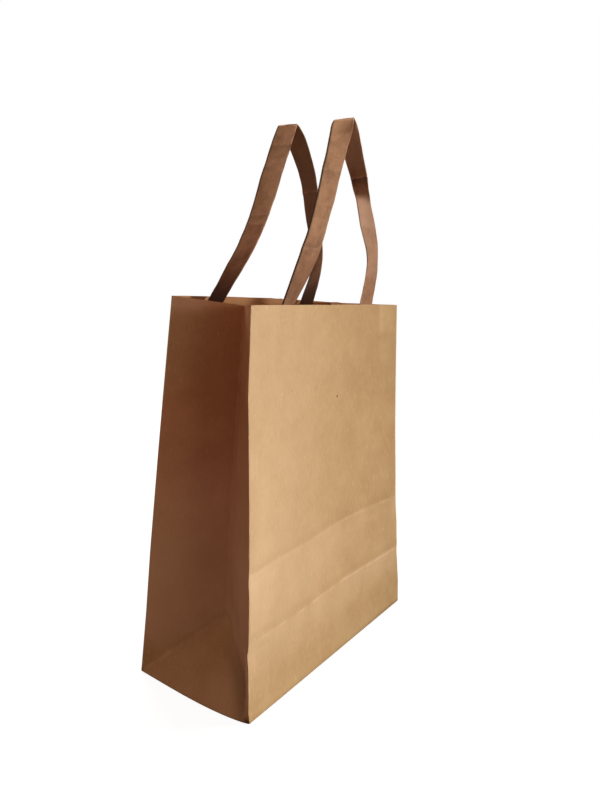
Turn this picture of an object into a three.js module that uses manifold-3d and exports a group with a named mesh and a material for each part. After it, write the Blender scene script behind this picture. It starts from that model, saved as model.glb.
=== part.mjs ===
// Kraft paper carrier bag: one folded sheet with tucked side gussets and a block bottom, and two
// flat paper straps, each folded over at its top and glued inside a wall under a paper patch.
// Millimetres, +Z up. The origin is the middle of the base and the front wall faces -Y.

import * as THREE from "three";
import { mergeVertices } from "three/addons/utils/BufferGeometryUtils.js";
import Module from "manifold-3d";

const wasm = await Module();
wasm.setup();

// The folded sheet
const BAG_WIDTH = 240;
const BAG_DEPTH = 120;
const BAG_HEIGHT = 310;
const PAPER = 0.35;
const MOUTH_DEPTH = 83; // front wall to back wall at the rim
const BACK_CORNER_LIFT = 7; // the back left corner of the rim stands this much higher
const FRONT_PRESS = 2.6; // the front wall is pressed in this much at its upper crease
const BACK_BOW = 1.1; // the back wall stands out this much at its upper crease

// Creases left by the flat-folded bottom, across the walls
const LOWER_CREASE = 51.5; // height of the first one, and of the point of each gusset's base triangle
const CREASE_SPACING = 52;

// Side gussets, tucked inwards along their middle crease
const TUCK_LOW = 38; // at the point of the base triangle
const TUCK_TOP = 43; // at the rim
const BASE_BULGE = 4.2; // the base edge of each gusset bellies out
const BULGE_SKEW = 0.66; // below 1 the belly sits nearer to the front
const FRONT_DIAGONAL_BOW = 0.62; // below 1 the front diagonal crease bows towards the front edge

// Block bottom: the front flap lies over the back flap, and both over the gussets' end flaps
const FLAP_OVERLAP = 15; // each flap's reach past the middle of the base
const FOLD_INSET = 0.3; // the folded edge is rounded in by this much under the walls

// Handle straps and the patches glued over their ends
const STRAP_WIDTH = 20;
const STRAP_THICKNESS = 1.2;
const STRAP_TUCK = 50; // length below the rim
const STRAP_FOLD = 2.4; // clear radius inside the fold at the top
const STRAP_SLIDE = 2; // shift along the fold line from one leg to the other
const STRAP_CLEARANCE = 2; // room between the wall and the edge of a strap that turns off it
const GLUE_LINE = 0.3; // gap between glued sheets
const PATCH_MARGIN = 10; // the patch's reach beyond the straps at the sides
const PATCH_BELOW = 5; // the patch's reach below the ends of the straps
const PATCH_DROP = 22; // the patch's top edge lies this far below the rim
const PATCH_STEP = 3; // width of the slope where the patch climbs onto a strap

// Where each handle stands: its rise from the rim to the fold, the fold's lean to the front and its place
// from the bag's middle, each strap's inset from the bag's side edge at the rim, and how far each leg
// swings sideways from the straight line up to the fold.
const FRONT_RISE = 161;
const FRONT_LEAN = 12;
const FRONT_TOP_PLACE = -3.2;
const FRONT_LEFT_INSET = 55.5;
const FRONT_LEFT_SWING = 10.8;
const FRONT_RIGHT_INSET = 62;
const FRONT_RIGHT_SWING = 26;
const BACK_RISE = 167;
const BACK_LEAN = 8;
const BACK_TOP_PLACE = 2.4;
const BACK_LEFT_INSET = 38;
const BACK_LEFT_SWING = 16.6;
const BACK_RIGHT_INSET = 66;
const BACK_RIGHT_SWING = 33.4;

// How the legs curve and twist. Shares of the swing and turns about the vertical, in degrees, are given at
// shares of the rise. Below the rim a strap splays outwards by a share of its length. The back strap is
// glued with its other face to the wall, half a turn round.
const FRONT_GLUE_TURN = 0;
const BACK_GLUE_TURN = -180;
const FOLD_TURN = -75;
const LEG_STATIONS = [0, 0.27, 0.5, 0.75];
const FRONT_LEFT_LEG = { splay: 0.15, curve: [0, 0.89, 1, 0.61], turn: [14, -8.5, -12.5, -21] };
const FRONT_RIGHT_LEG = { splay: 0.02, curve: [0, 1, 0.94, 0.64], turn: [-3, -1.5, -9, -97] };
const BACK_LEFT_LEG = { splay: 0.15, curve: [0, 0.88, 1, 0.46], turn: [-102, -89, -86, -82] };
const BACK_RIGHT_LEG = { splay: 0.05, curve: [0, 1, 1, 0.84], turn: [-105, -116, -103, -99] };
const HANDLES = {
  front: {
    rise: FRONT_RISE,
    lean: FRONT_LEAN,
    topPlace: FRONT_TOP_PLACE,
    glueTurn: FRONT_GLUE_TURN,
    left: { inset: FRONT_LEFT_INSET, swing: FRONT_LEFT_SWING, ...FRONT_LEFT_LEG },
    right: { inset: FRONT_RIGHT_INSET, swing: FRONT_RIGHT_SWING, ...FRONT_RIGHT_LEG },
  },
  back: {
    rise: BACK_RISE,
    lean: BACK_LEAN,
    topPlace: BACK_TOP_PLACE,
    glueTurn: BACK_GLUE_TURN,
    left: { inset: BACK_LEFT_INSET, swing: BACK_LEFT_SWING, ...BACK_LEFT_LEG },
    right: { inset: BACK_RIGHT_INSET, swing: BACK_RIGHT_SWING, ...BACK_RIGHT_LEG },
  },
};

// Matte kraft paper, darker where it is folded into straps
const WALL_COLOUR = 0xcda878;
const STRAP_COLOUR = 0xa9794f;
const PATCH_COLOUR = 0xc39d6e;
const PAPER_ROUGHNESS = 0.85;

// Fineness of the sheets
const TRIANGLE_ROWS = 6;
const CREASE_ROWS = 2;
const WALL_ROWS = 8;
const PANEL_COLUMNS = 4;
const FOOT_STEPS = 2;
const TWIST_STEPS = 6;
const LEG_STEPS = 24;
const FOLD_STEPS = 8;
const PATCH_ROWS = 2;

const UPPER_CREASE = LOWER_CREASE + CREASE_SPACING;
const FLAP_LAYERS = 2;
const WALL_BOTTOM = FLAP_LAYERS * PAPER;
const FOLD_RADIUS = STRAP_FOLD + STRAP_THICKNESS / 2;

const { lerp, degToRad, smoothstep } = THREE.MathUtils;
const range = (count) => Array.from({ length: count }, (_, i) => i);
const shares = (steps) => range(steps + 1).map((i) => i / steps);

// How far a wall stands off its flat place, as a share of that at its upper crease: nothing up to the lower
// crease, a straight slope between the creases, then a curve back to nothing at the rim.
function creased(z) {
  if (z < UPPER_CREASE) return Math.max(0, z - LOWER_CREASE) / CREASE_SPACING;
  const share = (z - UPPER_CREASE) / (BAG_HEIGHT - UPPER_CREASE);
  return Math.cos((Math.PI / 2) * Math.min(1, share));
}

function frontFace(z) {
  return -BAG_DEPTH / 2 + FRONT_PRESS * creased(z);
}

// The back wall leans forward from the base to the narrower mouth.
function backFace(z) {
  return BAG_DEPTH / 2 - ((BAG_DEPTH - MOUTH_DEPTH) * z) / BAG_HEIGHT + BACK_BOW * creased(z);
}

// A closed solid between two like grids of points. Columns run along the sheet and rows across it.
// A wrapped sheet joins its last column to its first. leansBack picks each quad's diagonal.
function sheetSolid(outside, inside, wrap = false, leansBack = () => false) {
  const columns = outside.length;
  const rows = outside[0].length;
  const top = rows - 1;
  const places = [outside, inside].flat(2).flatMap((p) => p.toArray());
  const faces = [];
  const at = (side, i, j) => (side * columns + (i % columns)) * rows + j;
  const quad = (a, b, c, d, back) => faces.push(...(back ? [a, b, d, b, c, d] : [a, b, c, a, c, d]));
  for (const i of range(wrap ? columns : columns - 1)) {
    for (const j of range(top)) {
      quad(at(0, i, j), at(0, i + 1, j), at(0, i + 1, j + 1), at(0, i, j + 1), leansBack(i));
      quad(at(1, i, j + 1), at(1, i + 1, j + 1), at(1, i + 1, j), at(1, i, j), !leansBack(i));
    }
    quad(at(0, i, top), at(0, i + 1, top), at(1, i + 1, top), at(1, i, top));
    quad(at(1, i, 0), at(1, i + 1, 0), at(0, i + 1, 0), at(0, i, 0));
  }
  if (!wrap) {
    const end = columns - 1;
    for (const j of range(top)) {
      quad(at(0, 0, j), at(0, 0, j + 1), at(1, 0, j + 1), at(1, 0, j));
      quad(at(1, end, j), at(1, end, j + 1), at(0, end, j + 1), at(0, end, j));
    }
  }
  const geometry = new THREE.BufferGeometry();
  geometry.setAttribute("position", new THREE.Float32BufferAttribute(places, 3));
  geometry.setIndex(faces);
  return geometry;
}

// Closed outline moved inwards by a distance, each corner along its mitre. It runs anticlockwise.
function inset(outline, distance) {
  const count = outline.length;
  const inward = outline.map((p, i) => {
    const along = outline[(i + 1) % count].clone().sub(p).normalize();
    return new THREE.Vector2(-along.y, along.x);
  });
  return outline.map((p, i) => {
    const before = inward[(i + count - 1) % count];
    const mitre = before.clone().add(inward[i]);
    return p.clone().addScaledVector(mitre, distance / (1 + before.dot(inward[i])));
  });
}

// The columns of the walls, anticlockwise from the front left edge. A gusset's columns are spaced so
// that its diagonal creases pass through the grid's own corners.
function wallColumns() {
  const front = shares(PANEL_COLUMNS).slice(0, -1);
  const frontHalf = shares(TRIANGLE_ROWS).map((s) => s ** (1 / FRONT_DIAGONAL_BOW) / 2);
  const backHalf = shares(TRIANGLE_ROWS).map((s) => 1 - s / 2);
  const gusset = [...frontHalf, ...backHalf.reverse().slice(1)];
  const lift = (share) => BACK_CORNER_LIFT * Math.max(0, 2 * share - 1);
  return [
    ...front.map((s) => ({ across: 2 * s - 1, depth: 0, lift: 0 })),
    ...gusset.slice(0, -1).map((v) => ({ across: 1, depth: v, lift: 0 })),
    ...front.map((s) => ({ across: 1 - 2 * s, depth: 1, lift: BACK_CORNER_LIFT * s })),
    ...gusset.reverse().slice(0, -1).map((v) => ({ across: -1, depth: v, lift: lift(v) })),
  ];
}

// How far a gusset stands inside the bag's side, at a share of its depth and a row of the grid.
function tuck(depth, row, z) {
  const fold = 1 - Math.abs(2 * depth - 1);
  if (fold === 0) return 0;
  if (row > TRIANGLE_ROWS) {
    return fold * lerp(TUCK_LOW, TUCK_TOP, (z - LOWER_CREASE) / (BAG_HEIGHT - LOWER_CREASE));
  }
  const diagonal = fold ** (depth < 0.5 ? FRONT_DIAGONAL_BOW : 1);
  const belly = -BASE_BULGE * Math.sin(Math.PI * depth ** BULGE_SKEW);
  return lerp(belly, TUCK_LOW * fold, Math.min(1, row / TRIANGLE_ROWS / diagonal));
}

function wallPoint(column, row) {
  const rim = BAG_HEIGHT + column.lift;
  const aboveTriangle = row - TRIANGLE_ROWS;
  const aboveCrease = aboveTriangle - CREASE_ROWS;
  let z = lerp(WALL_BOTTOM, LOWER_CREASE, row / TRIANGLE_ROWS);
  if (aboveTriangle > 0) z = lerp(LOWER_CREASE, UPPER_CREASE, aboveTriangle / CREASE_ROWS);
  if (aboveCrease > 0) z = lerp(UPPER_CREASE, rim, aboveCrease / WALL_ROWS);
  const halfWidth = BAG_WIDTH / 2 - tuck(column.depth, row, z);
  return new THREE.Vector3(column.across * halfWidth, lerp(frontFace(z), backFace(z), column.depth), z);
}

// The four walls as one wrapped sheet, open at the top and bottom.
function walls(columns) {
  const rowCount = TRIANGLE_ROWS + CREASE_ROWS + WALL_ROWS + 1;
  const outside = columns.map((column) => range(rowCount).map((row) => wallPoint(column, row)));
  const inside = outside.map((column) => column.map((p) => p.clone()));
  for (const row of range(rowCount)) {
    const outline = outside.map((column) => new THREE.Vector2(column[row].x, column[row].y));
    inset(outline, PAPER).forEach((p, i) => inside[i][row].set(p.x, p.y, outside[i][row].z));
  }
  const fold = (i) => Math.abs(2 * columns[i % columns.length].depth - 1);
  return sheetSolid(outside, inside, true, (i) => fold(i + 1) > fold(i));
}

function slab(outline, bottom, top) {
  const shape = new THREE.Shape(outline);
  const made = new THREE.ExtrudeGeometry(shape, { depth: top - bottom, bevelEnabled: false });
  return made.translate(0, 0, bottom);
}

// A base flap: its ends run in at 45 degrees from the corners, and its free edge lies past the middle.
function flapOutline(side) {
  const edge = BAG_DEPTH / 2 - FOLD_INSET;
  const corner = BAG_WIDTH / 2 - FOLD_INSET;
  const reach = edge + FLAP_OVERLAP;
  const outline = [
    [-corner, side * edge],
    [corner, side * edge],
    [corner - reach, side * (edge - reach)],
    [reach - corner, side * (edge - reach)],
  ];
  return outline.map(([x, y]) => new THREE.Vector2(x, y));
}

function solidOf(geometry) {
  geometry.deleteAttribute("normal");
  geometry.deleteAttribute("uv");
  const merged = mergeVertices(geometry);
  const vertProperties = merged.attributes.position.array;
  const triVerts = new Uint32Array(merged.index.array);
  return new wasm.Manifold(new wasm.Mesh({ numProp: 3, vertProperties, triVerts }));
}

function geometryOf(solid) {
  const { vertProperties, triVerts } = solid.getMesh();
  const geometry = new THREE.BufferGeometry();
  geometry.setAttribute("position", new THREE.BufferAttribute(vertProperties, 3));
  geometry.setIndex(new THREE.BufferAttribute(triVerts, 1));
  return geometry;
}

// The whole sheet: walls, the gussets' end flaps as one floor, and the two long flaps glued under it.
function bagBody() {
  const columns = wallColumns();
  const base = columns.map((column) => {
    const p = wallPoint(column, 0);
    return new THREE.Vector2(p.x, p.y);
  });
  const glued = WALL_BOTTOM + PAPER / 2;
  const floor = slab(inset(base, PAPER / 2), WALL_BOTTOM, WALL_BOTTOM + PAPER);
  const backFlap = slab(flapOutline(1), PAPER, glued);
  const frontFlap = slab(flapOutline(-1), 0, glued);
  const parts = [floor, backFlap, frontFlap].map(solidOf);
  return geometryOf(parts.reduce((whole, part) => whole.add(part), solidOf(walls(columns))));
}

// Smooth value through stations [place, value], with the ends' slopes running straight on.
function through(stations, place) {
  const last = stations.length - 1;
  const slope = (a, b) => (stations[b][1] - stations[a][1]) / (stations[b][0] - stations[a][0]);
  const slopeAt = (i) => slope(Math.max(0, i - 1), Math.min(last, i + 1));
  if (place <= stations[0][0]) return stations[0][1] + slopeAt(0) * (place - stations[0][0]);
  const next = Math.max(1, stations.findIndex(([start]) => start >= place));
  const [start, from] = stations[next - 1];
  const [end, to] = stations[next];
  const width = end - start;
  const s = (place - start) / width;
  const leaving = slopeAt(next - 1) * width;
  const arriving = slopeAt(next) * width;
  const blend = s * s * (3 - 2 * s);
  return lerp(from, to, blend) + s * (1 - s) * ((1 - s) * leaving - s * arriving);
}

// Place of a layer glued to the inside of a wall, counted from the glue on that wall.
function seatOn(side, z, layer) {
  const wall = side < 0 ? frontFace(z) : backFace(z);
  return wall - side * (PAPER + GLUE_LINE + layer);
}

// One leg's sections, from its glued end up to the fold. Each has the strap's middle and its turn.
// Above its patch the strap turns off the wall, and one edge stays near the wall up to the rim.
function legSections(handle, side, leg, hand) {
  const fold = degToRad(FOLD_TURN);
  const offset = new THREE.Vector2(Math.sin(fold), -Math.cos(fold)).multiplyScalar(-hand * FOLD_RADIUS);
  offset.addScaledVector(new THREE.Vector2(Math.cos(fold), Math.sin(fold)), (hand * STRAP_SLIDE) / 2);
  const foot = hand * (BAG_WIDTH / 2 - leg.inset);
  const top = handle.topPlace + offset.x;
  const stations = (values, end) => [...LEG_STATIONS.map((s, i) => [s, values[i]]), [1, end]];
  const curve = stations(leg.curve, 0);
  const turns = stations(leg.turn, FOLD_TURN);
  const seat = (z) => seatOn(side, z, STRAP_THICKNESS / 2);
  const standOff = (turn) => -side * (STRAP_WIDTH / 2 + STRAP_CLEARANCE) * Math.abs(Math.sin(turn));
  const wallLean = side < 0 ? 0 : (MOUTH_DEPTH - BAG_DEPTH) / BAG_HEIGHT;
  const rimTurn = degToRad(leg.turn[0]);
  const tucked = (below, turn) => {
    const z = BAG_HEIGHT - below;
    const x = foot + hand * leg.splay * below;
    return { middle: new THREE.Vector3(x, seat(z) + standOff(turn), z), turn };
  };
  const glueTurn = degToRad(handle.glueTurn);
  const glued = shares(FOOT_STEPS).map((s) => tucked(lerp(STRAP_TUCK, PATCH_DROP, s), glueTurn));
  const twisted = shares(TWIST_STEPS).slice(1, -1).map((s) => {
    return tucked(lerp(PATCH_DROP, 0, s), lerp(glueTurn, rimTurn, smoothstep(s, 0, 1)));
  });
  const free = shares(LEG_STEPS).map((s) => {
    const height = s * handle.rise;
    const x = lerp(foot, top, s) + leg.swing * through(curve, s);
    const leaning = wallLean * height + (offset.y - handle.lean) * s ** 2;
    const y = seat(BAG_HEIGHT) + standOff(rimTurn) * (1 - s) ** 2 + leaning;
    return { middle: new THREE.Vector3(x, y, BAG_HEIGHT + height), turn: degToRad(through(turns, s)) };
  });
  return [...glued, ...twisted, ...free];
}

// The turn over the top, from the end of the left leg to the end of the right one.
function foldSections(left, right) {
  const turn = degToRad(FOLD_TURN);
  const centre = left.middle.clone().lerp(right.middle, 0.5);
  const normal = new THREE.Vector3(Math.sin(turn), -Math.cos(turn), 0);
  const line = new THREE.Vector3(Math.cos(turn), Math.sin(turn), 0);
  return shares(FOLD_STEPS).slice(1, -1).map((s) => {
    const angle = Math.PI * s;
    const middle = centre.clone().addScaledVector(normal, FOLD_RADIUS * Math.cos(angle));
    middle.addScaledVector(line, STRAP_SLIDE * (s - 0.5));
    middle.z += FOLD_RADIUS * Math.sin(angle);
    return { middle, turn };
  });
}

// A flat strap bent along its sections. Rulings stay level, so a leaning strap's are a little longer.
function strap(handle, side) {
  const left = legSections(handle, side, handle.left, -1);
  const right = legSections(handle, side, handle.right, 1);
  const over = foldSections(left.at(-1), right.at(-1));
  const sections = [...left, ...over, ...right.reverse()];
  const outside = [];
  const inside = [];
  sections.forEach(({ middle, turn }, i) => {
    const before = sections[Math.max(0, i - 1)].middle;
    const after = sections[Math.min(sections.length - 1, i + 1)].middle;
    const along = after.clone().sub(before).normalize();
    const ruling = new THREE.Vector3(Math.cos(turn), Math.sin(turn), 0);
    const normal = along.clone().cross(ruling).normalize();
    const half = STRAP_WIDTH / 2 / Math.sqrt(1 - along.dot(ruling) ** 2);
    const edges = [-half, half].map((reach) => middle.clone().addScaledVector(ruling, reach));
    outside.push(edges.map((p) => p.clone().addScaledVector(normal, STRAP_THICKNESS / 2)));
    inside.push(edges.map((p) => p.clone().addScaledVector(normal, -STRAP_THICKNESS / 2)));
  });
  return sheetSolid(outside, inside);
}

// A paper patch on the inside of a wall, which climbs over both glued ends of a strap.
function patch(handle, side) {
  const top = BAG_HEIGHT - PATCH_DROP;
  const bottom = BAG_HEIGHT - STRAP_TUCK - PATCH_BELOW;
  const climb = STRAP_THICKNESS + GLUE_LINE;
  const strapPlace = (leg, hand, z) => hand * (BAG_WIDTH / 2 - leg.inset + leg.splay * (BAG_HEIGHT - z));
  const crest = (leg) => (STRAP_WIDTH / 2) * Math.hypot(1, leg.splay) + GLUE_LINE;
  const overStrap = (leg, hand, z) => {
    const middle = strapPlace(leg, hand, z);
    const slope = crest(leg) + PATCH_STEP;
    const profile = [[-slope, 0], [-crest(leg), climb], [crest(leg), climb], [slope, 0]];
    return profile.map(([x, up]) => [middle + x, up]);
  };
  const end = (leg, hand) => {
    const reach = crest(leg) + PATCH_STEP + PATCH_MARGIN;
    return [strapPlace(leg, hand, bottom) + hand * reach, 0];
  };
  const rows = shares(PATCH_ROWS).map((s) => lerp(bottom, top, s));
  const profiles = rows.map((z) => [
    end(handle.left, -1),
    ...overStrap(handle.left, -1, z),
    ...overStrap(handle.right, 1, z),
    end(handle.right, 1),
  ]);
  const place = (i, j, layer) => {
    const [x, up] = profiles[j][i];
    return new THREE.Vector3(x, seatOn(side, rows[j], up + layer), rows[j]);
  };
  const columns = range(profiles[0].length);
  const skin = (layer) => columns.map((i) => rows.map((_, j) => place(i, j, layer)));
  const [wallSide, openSide] = [skin(0), skin(PAPER)];
  return side < 0 ? sheetSolid(wallSide, openSide) : sheetSolid(openSide, wallSide);
}

function piece(name, geometry, color) {
  const material = new THREE.MeshStandardMaterial({ color, roughness: PAPER_ROUGHNESS, flatShading: true });
  const mesh = new THREE.Mesh(geometry, material);
  mesh.name = name;
  return mesh;
}

const bag = new THREE.Group();
bag.add(piece("bag_body", bagBody(), WALL_COLOUR));
for (const [name, side] of [["front", -1], ["back", 1]]) {
  bag.add(piece(`${name}_handle`, strap(HANDLES[name], side), STRAP_COLOUR));
  bag.add(piece(`${name}_handle_patch`, patch(HANDLES[name], side), PATCH_COLOUR));
}

export default bag;
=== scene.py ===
import math
from functools import reduce
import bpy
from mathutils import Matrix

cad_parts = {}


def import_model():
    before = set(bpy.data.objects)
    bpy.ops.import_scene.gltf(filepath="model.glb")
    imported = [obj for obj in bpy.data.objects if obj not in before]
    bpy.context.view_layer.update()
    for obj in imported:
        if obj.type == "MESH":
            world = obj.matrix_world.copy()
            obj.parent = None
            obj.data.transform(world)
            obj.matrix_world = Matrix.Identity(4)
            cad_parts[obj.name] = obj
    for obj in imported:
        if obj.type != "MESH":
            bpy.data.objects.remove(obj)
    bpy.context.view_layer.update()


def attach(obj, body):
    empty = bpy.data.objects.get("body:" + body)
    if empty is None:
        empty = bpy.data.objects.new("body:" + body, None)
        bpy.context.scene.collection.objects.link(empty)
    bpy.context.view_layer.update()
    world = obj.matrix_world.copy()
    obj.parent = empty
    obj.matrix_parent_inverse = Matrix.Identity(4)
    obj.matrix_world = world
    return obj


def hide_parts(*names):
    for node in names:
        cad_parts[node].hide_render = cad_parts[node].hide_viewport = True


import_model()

from types import SimpleNamespace

import bpy
import numpy as np
from mathutils import Vector

MM = 0.001

# The folded sheet, as in the part's source
BAG_WIDTH = 240 * MM
BAG_DEPTH = 120 * MM
BAG_HEIGHT = 310 * MM
PAPER = 0.35 * MM
MOUTH_DEPTH = 83 * MM
BACK_CORNER_LIFT = 7 * MM
FRONT_PRESS = 2.6 * MM
BACK_BOW = 1.1 * MM
LOWER_CREASE = 51.5 * MM
CREASE_SPACING = 52 * MM
UPPER_CREASE = LOWER_CREASE + CREASE_SPACING
TUCK_LOW = 38 * MM
TUCK_TOP = 43 * MM
BASE_BULGE = 4.2 * MM
BULGE_SKEW = 0.66
FRONT_DIAGONAL_BOW = 0.62
FLAP_OVERLAP = 15 * MM
WALL_BOTTOM = 2 * PAPER

# Sizes of the straps and patches, as in the part's source
STRAP_WIDTH = 20 * MM
STRAP_THICKNESS = 1.2 * MM
STRAP_TUCK = 50 * MM
FOLD_RADIUS = 3 * MM
STRAP_SLIDE = 2 * MM
STRAP_CLEARANCE = 2 * MM
GLUE_LINE = 0.3 * MM
PATCH_MARGIN = 10 * MM
PATCH_BELOW = 5 * MM
PATCH_DROP = 22 * MM
PATCH_STEP = 3 * MM
PATCH_LEVEL = BAG_HEIGHT - STRAP_TUCK - PATCH_BELOW

# The loops of the straps, as in the source but for small trims. Turns are in degrees about the upright, and
# places on a leg are shares of its rise over the rim. The left leg is -1 and the right leg 1.
#   blunt: a corner of the fold, how much is cut off, and how far the cut reaches down the left and right leg
#   painted_light_and_shade: a stretch of the right leg, from and to, and its share of painted light and shade
#   creases: the leg, the place, how pale the line is, as wear and painted highlight, and the painted shade
#       below it
#   curve and turn: the share of the swing and the turn at places up the leg
#   pinch: the place, its spread and how much of the width is lost
HANDLES = {
    "front": {
        "side": -1, "rise": 161 * MM, "lean": 12 * MM, "top_place": -1.8 * MM, "glue_turn": 0,
        "fold_turn": -62, "fold_tilt": 4.5, "fold_draw": 0.03, "foot_shade": {-1: 0.55, 1: 0.22},
        "blunt": [(1, 1.8 * MM, 14 * MM, 6 * MM), (-1, 1.3 * MM, 2.5 * MM, 2.5 * MM)],
        "painted_light_and_shade": [(0.76, 1, 0.5, 0), (0.15, 0.63, 0.42, 0), (0.43, 0.65, 0.75, 0)],
        "creases": [(1, 0.735, 1, 0.8), (-1, 0.73, 0.15, 0.35), (-1, 0.3, 0.5, 0.3)],
        "legs": {
            -1: {"inset": 52.8 * MM, "swing": 11.4 * MM, "splay": 0.15, "pinch": None,
                 "curve": [(0, 0), (0.27, 0.97), (0.5, 1), (0.75, 0.54), (1, 0)],
                 "turn": [(0, 14), (0.27, -8.5), (0.5, -12.5), (0.75, -21), (0.93, -35), (1, -62)]},
            1: {"inset": 62.8 * MM, "swing": 27.4 * MM, "splay": 0.02, "pinch": (0.65, 0.05, 0.3),
                "curve": [(0, 0), (0.27, 0.963), (0.5, 0.865), (0.75, 0.547), (0.92, 0.13), (0.965, 0.02),
                          (1, 0)],
                "turn": [(0, -3), (0.27, -1.5), (0.5, -11), (0.61, -17), (0.7, -95), (0.79, -98), (0.88, -86),
                         (1, -62)]},
        },
    },
    "back": {
        "side": 1, "rise": 167 * MM, "lean": 8 * MM, "top_place": 2.4 * MM, "glue_turn": -180,
        "fold_turn": -75, "fold_tilt": 0, "fold_draw": 0.04, "foot_shade": {-1: 1, 1: 1},
        "blunt": [(1, 1.6 * MM, 3.5 * MM, 3.5 * MM)],
        "painted_light_and_shade": [(0.45, 1, 0.65, 0.42)],
        "creases": [(1, 0.685, 1, 0.8), (-1, 0.9, 0.1, 0.5), (-1, 0.5, 0.35, 0.4)],
        "legs": {
            -1: {"inset": 35.3 * MM, "swing": 16.6 * MM, "splay": 0.15, "pinch": None,
                 "curve": [(0, 0), (0.27, 0.85), (0.5, 1.02), (0.75, 0.55), (1, 0)],
                 "turn": [(0, -97), (0.27, -83), (0.5, -76), (0.75, -69), (1, -75)]},
            1: {"inset": 66 * MM, "swing": 33.4 * MM, "splay": 0.05, "pinch": None,
                "curve": [(0, 0), (0.27, 1), (0.5, 1), (0.75, 0.84), (0.93, 0.34), (1, 0)],
                "turn": [(0, -105), (0.27, -116), (0.5, -101), (0.75, -93.5), (1, -75)]},
        },
    },
}

# Meshes are smooth but for edges sharper than this
SHARP_ANGLE = math.radians(42)

# Seeds of the unevenness. A strap uses four in a row, from its own.
SEEDS = {
    "panel": 3, "ripple": 5, "gusset": 7, "ridge": 11, "rim": 13, "fibres": 17, "wear_and_light": 19,
    "front_strap": 41, "back_strap": 61, "front_patch": 83, "back_patch": 97,
}


def lerp(a, b, t):
    return a + (b - a) * t


def smooth(x):
    x = np.clip(x, 0, 1)
    return x * x * (3 - 2 * x)


def rise(x, start, length):
    """Nought up to the start, and one from a length above it."""
    return smooth((x - start) / length)


def fall(x, end, length):
    """One up to a length below the end, and nought from the end."""
    return smooth((end - x) / length)


def before(x, level, soft):
    """One before a level and nought past it, with a soft step there."""
    return smooth((level - x) / soft + 0.5)


def soft_min(a, b, k):
    h = np.clip(0.5 + 0.5 * (b - a) / k, 0, 1)
    return lerp(b, a, h) - k * h * (1 - h)


def bell(x, width):
    return np.exp(-((x / width) ** 2))


def line(away, strength, width):
    return strength * bell(away, width)


def most(*marks):
    return reduce(np.maximum, marks)


def waves(seed, size, *places):
    """Even, smooth unevenness of about one, with lumps of a given size."""
    rng = np.random.default_rng(seed)
    total = 0
    count = 14
    for _ in range(count):
        direction = rng.normal(size=len(places))
        direction /= np.linalg.norm(direction)
        turns = 2 * math.pi * rng.uniform(0.55, 1.5) / size
        phase = rng.uniform(0, 2 * math.pi)
        along = sum(d * p for d, p in zip(direction, places))
        total = total + np.sin(along * turns + phase)
    return total / math.sqrt(count / 2)


def graded(length, fine, coarse, growth=1.5):
    """Shares along a length, with fine steps at both ends and coarse ones between."""
    steps = [fine]
    while steps[-1] < coarse:
        steps.append(min(coarse, steps[-1] * growth))
    end = np.concatenate([[0], np.cumsum(steps)])
    count = max(1, round((length - 2 * end[-1]) / coarse))
    middle = np.linspace(end[-1], length - end[-1], count + 1)[1:-1]
    return np.concatenate([end, middle, length - end[::-1]]) / length


def grid_normals(points):
    """Normals of a grid that closes on itself along its first axis."""
    along = np.roll(points, -1, axis=0) - np.roll(points, 1, axis=0)
    up = np.gradient(points, axis=1)
    normal = np.cross(along, up)
    return normal / np.linalg.norm(normal, axis=2, keepdims=True)


def skins(outer, inner):
    """Marks of both faces of a sheet, in the order of its points."""
    return np.concatenate([outer.ravel(), inner.ravel()])


def sheet_points(outer, inner):
    return np.concatenate([outer.reshape(-1, 3), inner.reshape(-1, 3)])


def sheet_faces(columns, rows, wrap):
    """Quads of a closed sheet: an outer grid, an inner grid, and the edges between them."""
    index = np.arange(2 * columns * rows).reshape(2, columns, rows)
    if wrap:
        index = np.concatenate([index, index[:, :1]], axis=1)
    out, inn = index
    quads = [
        np.stack([out[:-1, :-1], out[1:, :-1], out[1:, 1:], out[:-1, 1:]], axis=-1).reshape(-1, 4),
        np.stack([inn[:-1, 1:], inn[1:, 1:], inn[1:, :-1], inn[:-1, :-1]], axis=-1).reshape(-1, 4),
        np.stack([out[:-1, -1], out[1:, -1], inn[1:, -1], inn[:-1, -1]], axis=-1),
        np.stack([inn[:-1, 0], inn[1:, 0], out[1:, 0], out[:-1, 0]], axis=-1),
    ]
    if not wrap:
        quads.append(np.stack([out[0, :-1], out[0, 1:], inn[0, 1:], inn[0, :-1]], axis=-1))
        quads.append(np.stack([inn[-1, :-1], inn[-1, 1:], out[-1, 1:], out[-1, :-1]], axis=-1))
    return np.concatenate(quads)


def make_object(name, points, faces, marks, material):
    mesh = bpy.data.meshes.new(name)
    mesh.from_pydata(points.tolist(), [], [list(map(int, f)) for f in faces])
    mesh.update()
    for mark, values in marks.items():
        layer = mesh.attributes.new(mark, "FLOAT", "POINT")
        layer.data.foreach_set("value", np.ascontiguousarray(values, dtype=np.float32))
    mesh.polygons.foreach_set("use_smooth", np.ones(len(mesh.polygons), dtype=bool))
    mesh.set_sharp_from_angle(angle=SHARP_ANGLE)
    mesh.materials.append(material)
    piece = bpy.data.objects.new(name, mesh)
    bpy.context.scene.collection.objects.link(piece)
    return piece


# Walls: steps of the mesh, fine and coarse
FOLD_STEP = 0.3 * MM
WALL_STEP = 4.2 * MM
GUSSET_STEP = 1.9 * MM
LOW_STEPS = (0.5 * MM, 1.7 * MM)
MIDDLE_STEPS = (1.2 * MM, 3 * MM)
HIGH_STEPS = (0.8 * MM, 3.8 * MM)
ROUND_ROWS = 7
CREASE_ROWS = 13
CREASE_ZONE = 16 * MM

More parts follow.
